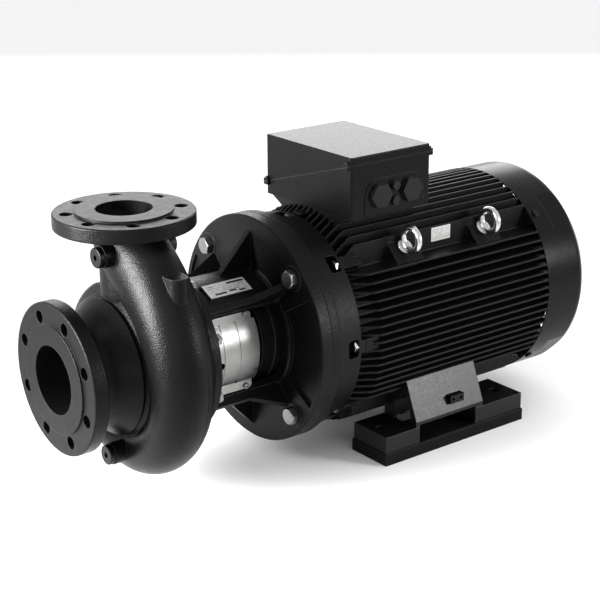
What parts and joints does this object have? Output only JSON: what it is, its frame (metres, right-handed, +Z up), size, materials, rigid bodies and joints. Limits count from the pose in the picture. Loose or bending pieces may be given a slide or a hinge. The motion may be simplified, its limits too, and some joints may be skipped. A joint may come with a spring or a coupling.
{
  "type": "centrifugal water pump",
  "caption": "End-suction volute pump, close-coupled through a windowed lantern to a finned foot-mounted motor with a terminal box, fan cowl, lifting eyes and packed-up feet.",
  "frame": {"origin": "centre of the suction flange's bolting face, on the shaft axis", "axes": "+X along the shaft from the suction flange to the motor's fan, +Z up along the discharge axis, +Y to the far side, so the discharge neck leans out on -Y"},
  "size_m": [0.902, 0.3556, 0.465],
  "materials": {
    "black_steel": "oil-blackened steel screws and plugs",
    "board_plastic": "moulded insulating resin",
    "box_paint": "smooth satin black enamel over die-cast aluminium",
    "cast_iron_bare": "machined grey iron",
    "core_steel": "stacked electrical sheet",
    "cowl_paint": "semi-gloss black enamel over pressed sheet steel",
    "eye_zinc": "bright zinc plate on drop-forged steel",
    "fan_plastic": "moulded black polypropylene",
    "foot_paint": "satin black enamel over cast iron",
    "guard_steel": "bright pressed stainless sheet",
    "motor_paint": "satin black enamel over cast iron",
    "plate_aluminium": "thin printed plate",
    "plug_plastic": "moulded black polyamide",
    "pump_paint": "satin black enamel over sand-cast iron",
    "rotor_aluminium": "die-cast",
    "seal_carbon": "resin-bonded carbon and ceramic",
    "seal_rubber": "moulded nitrile rubber",
    "shaft_steel": "ground steel",
    "spacer_paint": "dull black primer over flat steel bar",
    "terminal_brass": "bright brass",
    "winding_copper": "varnished copper wire",
    "zinc_steel": "bright zinc plate"
  },
  "bodies": {
    "frame": {"volute_casing": "pump_paint", "gauge_plugs": "black_steel", "drain_plug": "black_steel", "casing_wear_ring": "cast_iron_bare", "pump_cover": "cast_iron_bare", "cover_o_ring": "seal_rubber", "seal_fixed_seat": "seal_carbon", "motor_stool": "pump_paint", "coupling_guard_near": "guard_steel", "coupling_guard_far": "guard_steel", "guard_screws": "zinc_steel", "casing_bolts": "zinc_steel", "stool_flange_bolts": "zinc_steel", "pump_nameplate": "plate_aluminium", "drive_end_shield": "motor_paint", "stator_housing": "motor_paint", "rear_end_shield": "motor_paint", "drive_shield_bolts": "zinc_steel", "rear_shield_bolts": "black_steel", "drive_bearing_outer_ring": "shaft_steel", "rear_bearing_outer_ring": "shaft_steel", "stator_core": "core_steel", "stator_windings": "winding_copper", "fan_cowl": "cowl_paint", "cowl_screws": "black_steel", "terminal_box": "box_paint", "terminal_box_lid": "box_paint", "terminal_box_gasket": "seal_rubber", "terminal_lid_screws": "black_steel", "large_blanking_plugs": "plug_plastic", "small_blanking_plugs": "plug_plastic", "terminal_board": "board_plastic", "terminal_studs": "terminal_brass", "eyebolts": "eye_zinc", "rating_plate": "plate_aluminium", "foot_near": "foot_paint", "foot_far": "foot_paint", "spacer_near": "spacer_paint", "spacer_far": "spacer_paint", "foot_bolts": "black_steel", "earth_terminal": "black_steel"},
    "rotor": {"impeller": "cast_iron_bare", "impeller_key": "shaft_steel", "impeller_washer": "shaft_steel", "impeller_nut": "shaft_steel", "pump_shaft": "shaft_steel", "shaft_set_screws": "shaft_steel", "seal_rotating_head": "seal_carbon", "drive_bearing_inner_ring": "shaft_steel", "rear_bearing_inner_ring": "shaft_steel", "shaft_v_ring": "seal_rubber", "motor_shaft": "shaft_steel", "coupling_key": "shaft_steel", "rotor_core": "core_steel", "rotor_end_rings": "rotor_aluminium", "cooling_fan": "fan_plastic"},
    "drive_balls": {"drive_bearing_balls": "shaft_steel"},
    "rear_balls": {"rear_bearing_balls": "shaft_steel"}
  },
  "joints": [
    {"name": "rotor_spin", "type": "hinge", "parent": "frame", "child": "rotor", "pos_m": [0.3, 0, 0], "axis": [-1, 0, 0], "continuous": true},
    {"name": "drive_balls_spin", "type": "hinge", "parent": "frame", "child": "drive_balls", "pos_m": [0.38205, 0, 0], "axis": [-1, 0, 0], "continuous": true},
    {"name": "rear_balls_spin", "type": "hinge", "parent": "frame", "child": "rear_balls", "pos_m": [0.79205, 0, 0], "axis": [-1, 0, 0], "continuous": true}
  ],
  "couplings": [
    {"joint": "drive_balls_spin", "follows": "rotor_spin", "ratio": 0.4093},
    {"joint": "rear_balls_spin", "follows": "rotor_spin", "ratio": 0.4093}
  ]
}
